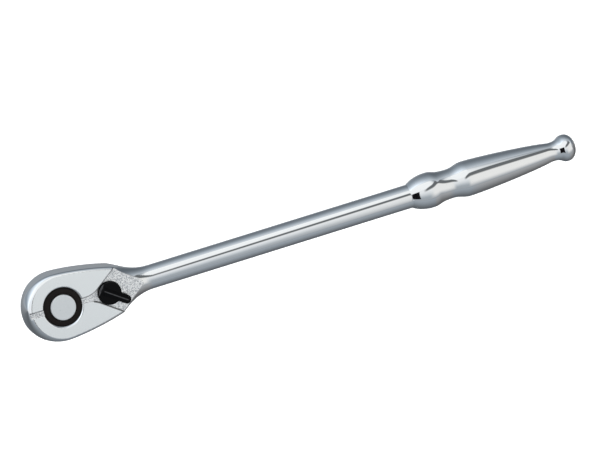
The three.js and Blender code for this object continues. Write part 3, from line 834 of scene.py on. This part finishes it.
def make_drive():
    spacing = 0.22
    reach = TOOTH_TIP + 0.5
    points, faces, normals = net(
        gear_field,
        levels((-reach, reach, spacing)),
        levels((-reach, reach, spacing)),
        levels(
            (-0.4, 1.4, 0.15),
            (1.4, SQUARE_LENGTH - 0.3, 0.3),
            (SQUARE_LENGTH - 0.3, SQUARE_LENGTH + 0.6, 0.15),
            (SQUARE_LENGTH + 0.6, UPPER_JOURNAL_TOP - 0.3, 0.3),
            (UPPER_JOURNAL_TOP - 0.3, HUB_TOP + 0.4, 0.13),
        ),
    )
    make_piece(
        "drive_square_and_gear", points, faces, "drive", "gear_steel", STEEL, normals, ["drive_gear"],
    )


def make_snap_ring():
    reach = SNAP_GROOVE[0] + 0.4
    points, faces, normals = net(
        snap_ring_field,
        levels((-reach, reach, 0.25)),
        levels((-reach, reach, 0.25)),
        levels((SNAP_GROOVE[1] - 0.3, SNAP_GROOVE[2] + 0.3, 0.13)),
    )
    make_piece("snap_ring", points, faces, "body", "black_steel", BLACK_STEEL, normals, ["cover_snap_ring"])


def make_lever():
    spacing = 0.13
    reach = LEVER_FLANGE[0] + 0.4
    points, faces, normals = net(
        lever_field,
        levels((-reach, LEVER_REACH + 0.4, spacing)),
        levels((-reach, reach, spacing)),
        levels(
            (LEVER_FOOT[1] - 0.4, LEVER_STEM[1] + 0.4, 0.18),
            (LEVER_STEM[1] + 0.4, LEVER_DISC[1] - 0.3, 0.3),
            (LEVER_DISC[1] - 0.3, LEVER_RIDGE_TOP + 0.4, 0.12),
        ),
    )
    lever = make_piece(
        "lever", at_lever(points), faces, "lever", "lever_black", LEVER_BLACK,
        turn_about_z(normals, LEVER_REST), ["reverse_lever"],
    )
    x, _, z = points.T
    # Painted highlight: the ridge's top and the tail's rear facet are marked to be drawn lighter.
    on_ridge = z > LEVER_RIDGE_TOP - 0.08
    on_rear = (x < LEVER_REAR + 0.4) & (z > LEVER_DISC[2] - 0.6)
    painted_highlight = lever.data.attributes.new("painted_highlight", "FLOAT", "POINT")
    painted_highlight.data.foreach_set("value", (on_ridge | on_rear).astype(np.float32))


def o_ring_profile(inner, outer, z):
    middle, half = (inner + outer) / 2, (outer - inner) / 2
    angles = np.linspace(0, 2 * math.pi, 24, endpoint=False)
    return np.stack([middle + half * np.cos(angles), z + half * np.sin(angles)], 1)


def make_turned_pieces():
    seal_half = (UPPER_JOURNAL - HUB - GAP) / 2
    swell = 0.75
    swell_start = HEAD_TOP - 0.3 - swell
    turn = np.linspace(0, math.pi, 24)
    dome = np.stack([
        UPPER_JOURNAL - seal_half + seal_half * np.cos(turn),
        swell_start + swell * np.sin(turn),
    ], 1)
    seat = UPPER_JOURNAL_TOP + GAP
    seal = np.vstack([[(HUB + GAP, seat), (UPPER_JOURNAL, seat)], dome])
    make_piece("black_seal", *ring_mesh(seal), "body", "rubber", RUBBER, replaces=["dust_seal"])
    plate = softened([
        (LOWER_JOURNAL + GAP, PLATE_BOTTOM),
        (PLATE_BORE - GAP, PLATE_BOTTOM),
        (PLATE_BORE - GAP, PLATE_TOP),
        (LOWER_JOURNAL + GAP, PLATE_TOP),
    ], 0.3)
    make_piece(
        "bottom_plate", *ring_mesh(plate), "body", "black_steel", BLACK_STEEL,
        replaces=["cover_plate"],
    )
    groove_radius, groove_bottom, groove_top = SEAL_GROOVE
    drive_ring = o_ring_profile(groove_radius + GAP, LOWER_JOURNAL, (groove_bottom + groove_top) / 2)
    make_piece(
        "drive_ring_seal", *ring_mesh(drive_ring), "drive", "rubber", RUBBER,
        replaces=["drive_o_ring"],
    )
    groove_radius, groove_bottom, groove_top = LEVER_SEAL_GROOVE
    profile = o_ring_profile(groove_radius + 0.04, LEVER_STEM[0] + 0.06, (groove_bottom + groove_top) / 2)
    points, faces = ring_mesh(profile, 96)
    make_piece(
        "lever_ring_seal", at_lever(points), faces, "lever", "rubber", RUBBER,
        replaces=["lever_o_ring"],
    )
    pin_bottom, pin_top = HEAD_BOTTOM + 0.1, ROOF_BOTTOM + 1.4
    pin = np.array([
        (PIN_RADIUS * 0.4, pin_bottom),
        (PIN_RADIUS - 0.2, pin_bottom),
        (PIN_RADIUS - 0.05, pin_bottom + 0.06),
        (PIN_RADIUS, pin_bottom + 0.2),
        (PIN_RADIUS, pin_top - 0.2),
        (PIN_RADIUS - 0.2, pin_top),
        (PIN_RADIUS * 0.4, pin_top),
    ])
    points, faces = capped_mesh(pin, 64)
    make_piece(
        "pawl_pivot", points + (PIN_X, 0, 0), faces, "body", "gear_steel", STEEL,
        replaces=["pawl_pin"],
    )


def make_ball():
    """Detent ball with the small flat that sockets wear on it."""
    worn = 0.985
    angles = np.linspace(math.asin(0.2), math.pi - math.acos(worn), 40)
    profile = BALL_RADIUS * np.stack([np.sin(angles), np.cos(angles)], 1)
    points, faces = capped_mesh(profile, 64)
    upright = points[:, [0, 2, 1]] * (1, 1, -1)
    centre = (0, BALL_RADIUS - BALL_STANDS_OUT - SQUARE_HALF, BALL_Z)
    make_piece(
        "ball", upright + centre, faces, "detent", "spring_steel", SPRING_STEEL,
        replaces=["detent_ball"],
    )


def make_plunger_and_springs():
    reach, rear, radius = 4.9, 0.9, 1.2
    nose = np.radians(np.linspace(90, 8, 14))
    profile = np.vstack([
        [(0.8, reach - 1.6), (0.8, rear + 0.1), (0.9, rear), (radius - 0.1, rear), (radius, rear + 0.1)],
        np.stack([radius * np.sin(nose), reach - radius + radius * np.cos(nose)], 1),
    ])
    points, faces = capped_mesh(profile, 64)
    lying = points[:, [2, 0, 1]] * (-1, 1, -1) + (0, 0, PLUNGER_Z)
    make_piece(
        "plunger", at_lever(lying), faces, "plunger", "gear_steel", STEEL,
        replaces=["lever_plunger"],
    )
    length, start = 4.9, np.array([[PLUNGER_BORE[1] - 0.2, 0, PLUNGER_Z]])
    points, faces = spring_mesh(0.55, 0.13, length, 5)
    lying = points * (-1, -1, 1) + start
    coil = make_piece(
        "plunger_coil", at_lever(lying), faces, "lever", "spring_steel", SPRING_STEEL,
        replaces=["plunger_spring"],
    )
    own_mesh(coil)
    length, start = 4, np.array([0, 1.6, BALL_Z])
    points, faces = spring_mesh(1.05, 0.22, length, 4)
    lying = turn_about_z(points, -math.pi / 2) + start
    coil = make_piece(
        "ball_coil", lying, faces, "drive", "spring_steel", SPRING_STEEL,
        replaces=["detent_spring"],
    )
    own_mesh(coil)


make_drive()
make_snap_ring()
make_lever()
make_turned_pieces()
make_ball()
make_plunger_and_springs()

carried_over = {"pawl": STEEL, "wave_washer": SPRING_STEEL, "lever_retaining_ring": SPRING_STEEL}
for node_name, finish in carried_over.items():
    for material_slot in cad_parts[node_name].material_slots:
        material_slot.material = finish

# ---------------------------------------------------------------- studio

ROOF_Z = 0.62
ROOF_LOW = (-1.2, -0.75)
ROOF_HIGH = (1.6, 1.7)


def studio_sheet(name, points, faces, material):
    """A mesh in metres that belongs to the studio and not to the tool."""
    mesh = bpy.data.meshes.new(name)
    mesh.from_pydata(points, [], faces)
    mesh.materials.append(material)
    sheet = bpy.data.objects.new(name, mesh)
    bpy.context.scene.collection.objects.link(sheet)
    return sheet


def make_floor():
    """A pale floor that the tool lies on, touching it with the square drive's end and with the knob. It is
    clear from below, so that the drive side can be looked at."""
    touch_x = 4.4
    knob_bottom = AXIS_Z - KNOB[1]
    rise = knob_bottom / (KNOB[0] - touch_x)
    half = 9.0

    def height(x):
        return rise * (x - touch_x * MM)

    corners = [(x, y, height(x)) for x, y in ((-half, -half), (half, -half), (half, half), (-half, half))]
    material = bpy.data.materials.new("pale_floor")
    nodes = Nodes(material)
    shade = nodes.add("ShaderNodeBsdfDiffuse", {"Color": (0.8, 0.8, 0.8, 1)})
    glow = nodes.add("ShaderNodeEmission", {"Color": (1, 1, 1, 1), "Strength": 0.75})
    total = nodes.add("ShaderNodeAddShader")
    nodes.set(total.inputs[0], shade.outputs[0])
    nodes.set(total.inputs[1], glow.outputs[0])
    clear = nodes.add("ShaderNodeBsdfTransparent")
    from_below = nodes.add("ShaderNodeNewGeometry").outputs["Backfacing"]
    nodes.show(nodes.mix_shaders(from_below, total, clear))
    floor = studio_sheet("floor", corners, [(0, 1, 2, 3)], material)
    floor.visible_glossy = False


def make_backdrop():
    """A pale dome far behind everything, seen only by the camera."""
    material = bpy.data.materials.new("pale_backdrop")
    nodes = Nodes(material)
    nodes.show(nodes.add("ShaderNodeEmission", {"Color": (1, 1, 1, 1), "Strength": 1.0}))
    radius = 8.5
    rows, columns = 12, 24
    lift = np.linspace(-0.3, math.pi / 2 - 0.05, rows)
    turn = np.linspace(0, 2 * math.pi, columns, endpoint=False)
    points = [
        (radius * math.cos(a) * math.cos(b), radius * math.cos(a) * math.sin(b), radius * math.sin(a))
        for a in lift for b in turn
    ]
    faces = grid_faces(rows, columns) + [list(range((rows - 1) * columns, rows * columns))]
    dome = studio_sheet("backdrop", points, faces, material)
    for kind in ("diffuse", "glossy", "transmission", "shadow", "volume_scatter"):
        setattr(dome, "visible_" + kind, False)


def make_light():
    """Soft light from above for the floor, kept out of the chrome's reflections."""
    lamp = bpy.data.lights.new("overhead", "AREA")
    lamp.size = 2.4
    lamp.energy = 60
    overhead = bpy.data.objects.new("overhead", lamp)
    overhead.location = (0.12, 0, 2.2)
    overhead.visible_glossy = False
    bpy.context.scene.collection.objects.link(overhead)


def make_roof():
    """The roof of the light tent, painted in metres from the drive: a white panel and a creamier one with a
    dark gap between them that widens towards the knob, and a black opening beside them."""
    material = bpy.data.materials.new("tent_roof")
    nodes = Nodes(material)
    x, y, _ = nodes.split("Object")

    def past_line(start, slope, soft):
        """Rises from 0 to 1 across the line through start, towards +Y."""
        line = nodes.math("MULTIPLY_ADD", x, slope, start[1] - slope * start[0])
        return nodes.step(nodes.math("SUBTRACT", y, line), -soft / 2, soft / 2)

    def shares(*values):
        product = values[0]
        for value in values[1:]:
            product = nodes.math("MULTIPLY", product, value)
        return product

    grey = (0.4, 0.43, 0.46, 1)
    middle = nodes.blend(nodes.step(y, -0.42, 0.17), (0.44, 0.49, 0.53, 1), (0.97, 0.99, 1.0, 1))
    front = nodes.blend(nodes.step(x, 0.2, 0.4), middle, (0.97, 0.965, 0.94, 1))
    front = nodes.blend(nodes.step(y, -0.7, -0.12), grey, front)
    front = nodes.blend(nodes.step(x, -0.64, -0.58, 1, 0), front, (0.8, 0.83, 0.85, 1))
    back = nodes.blend(nodes.step(x, 0.35, 1.0), (1.08, 1.1, 1.1, 1), (0.38, 0.42, 0.46, 1))
    back_starts = past_line((0.206, 0.319), 0.97, 0.09)
    front_ends = past_line((0.192, 0.13), 0.48, 0.12)
    left_split = nodes.step(y, 0.22, 0.32)
    is_right = nodes.step(x, 0.04, 0.19)
    back_share = nodes.math("ADD", shares(back_starts, is_right), shares(
        left_split, nodes.math("SUBTRACT", 1.0, is_right),
    ))
    gap = shares(front_ends, is_right)
    colour = nodes.blend(gap, front, (0.16, 0.17, 0.175, 1))
    colour = nodes.blend(back_share, colour, back)
    opening = shares(
        nodes.step(x, -0.6, -0.54), nodes.step(x, -0.125, -0.095, 1, 0),
        nodes.step(y, -0.46, -0.42), nodes.step(y, 0.2, 0.24, 1, 0),
    )
    colour = nodes.blend(opening, colour, (0.006, 0.006, 0.007, 1))
    rim = shares(
        nodes.step(x, ROOF_LOW[0], ROOF_LOW[0] + 0.3),
        nodes.step(x, ROOF_HIGH[0] - 0.3, ROOF_HIGH[0], 1, 0),
        nodes.step(y, ROOF_LOW[1], ROOF_LOW[1] + 0.1),
        nodes.step(y, ROOF_HIGH[1] - 0.4, ROOF_HIGH[1], 1, 0),
    )
    glow = nodes.add("ShaderNodeEmission", {"Color": colour, "Strength": 1.0})
    clear = nodes.add("ShaderNodeBsdfTransparent")
    nodes.show(nodes.mix_shaders(rim, clear, glow))
    (x0, y0), (x1, y1), z = ROOF_LOW, ROOF_HIGH, ROOF_Z
    corners = [(x0, y0, z), (x1, y0, z), (x1, y1, z), (x0, y1, z)]
    roof = studio_sheet("tent_roof", corners, [(3, 2, 1, 0)], material)
    roof.visible_camera = False
    roof.visible_shadow = False


def make_world():
    """The walls and floor of the tent. Directions are told by two angles in degrees: across, from straight
    up towards +Y, and along, towards +X. Each stop is (across, light, how much cooler than white)."""
    world = bpy.data.worlds.new("light_tent")
    bpy.context.scene.world = world
    nodes = Nodes(world)
    x, y, z = nodes.split("Generated")
    across = nodes.math("MULTIPLY", nodes.math("ARCTAN2", y, z), 180 / math.pi)
    along = nodes.math("MULTIPLY", nodes.math("ARCSINE", x), 180 / math.pi)
    stops = [
        (-180, 0.3, 0.06), (-163, 0.19, 0.09), (-140, 0.15, 0.09), (-122, 0.14, 0.09), (-106, 0.19, 0.09),
        (-90, 0.26, 0.1), (-74, 0.34, 0.1), (-58, 0.41, 0.1), (-46, 0.44, 0.1), (-30, 0.9, 0.03),
        (0, 1.0, 0.02), (54, 1.06, 0.05), (62, 1.0, 0.06), (70, 0.9, 0.07), (78, 0.78, 0.09),
        (86, 0.65, 0.1), (94, 0.53, 0.11), (102, 0.43, 0.12), (110, 0.35, 0.13), (126, 0.26, 0.14),
        (142, 0.245, 0.14), (150, 0.27, 0.12), (158, 0.33, 0.09), (167, 0.36, 0.08), (180, 0.3, 0.06),
    ]
    turn = nodes.math("MULTIPLY_ADD", across, 1 / 360, 0.5)
    ramp = nodes.add("ShaderNodeValToRGB", {"Fac": turn})
    elements = ramp.color_ramp.elements
    while len(elements) < len(stops):
        elements.new(0.5)
    for element, (angle, light, cool) in zip(elements, stops):
        element.position = (angle + 180) / 360
        element.color = (light * (1 - cool), light, light * (1 + cool), 1)
    behind = nodes.math("MULTIPLY", nodes.step(across, 45, 70), nodes.step(across, 150, 175, 1, 0))
    brighter = nodes.step(along, -35, 35, 1.45, 0.65)
    gain = nodes.math("MULTIPLY_ADD", behind, nodes.math("SUBTRACT", brighter, 1.0), 1.0)
    low_right = nodes.math("MULTIPLY", nodes.step(across, -20, -45), nodes.step(along, 12, 20))
    colour = nodes.blend(low_right, (1, 1, 1, 1), (1.09, 1, 0.93, 1))
    tinted = nodes.add("ShaderNodeVectorMath", operation="MULTIPLY")
    nodes.set(tinted.inputs[0], ramp.outputs["Color"])
    nodes.set(tinted.inputs[1], colour)
    end_wall = nodes.math("MULTIPLY", nodes.step(along, 62, 74), nodes.step(z, -0.3, 0.3))
    colour = nodes.blend(end_wall, tinted.outputs[0], (0.25, 0.26, 0.27, 1))
    glow = nodes.add("ShaderNodeBackground", {"Color": colour, "Strength": gain})
    nodes.show(glow, "ShaderNodeOutputWorld")


def make_camera():
    """A long lens far off, high over the head's side of the tool."""
    towards = Vector((-0.2104, 0.2156, 0.9535)).normalized()
    right = Vector((0.9335, -0.2453, 0.2615))
    right = (right - right.dot(towards) * towards).normalized()
    up = towards.cross(right)
    shift_right, shift_up = -1.47, -0.05
    target = Vector((122.75, 2.0, AXIS_Z)) + right * shift_right + up * shift_up
    distance = 2408
    image_width = 600
    pixels_per_mm = 2.1092
    camera = bpy.data.cameras.new("camera")
    camera.sensor_width = 36
    camera.lens = pixels_per_mm * distance * camera.sensor_width / image_width
    camera.clip_end = 60
    holder = bpy.data.objects.new("camera", camera)
    turn = Matrix((right, up, towards)).transposed().to_4x4()
    holder.matrix_world = Matrix.Translation((target + towards * distance) * MM) @ turn
    bpy.context.scene.collection.objects.link(holder)
    bpy.context.scene.camera = holder


make_floor()
make_backdrop()
make_light()
make_roof()
make_world()
make_camera()
bpy.context.scene.view_settings.view_transform = "Standard"
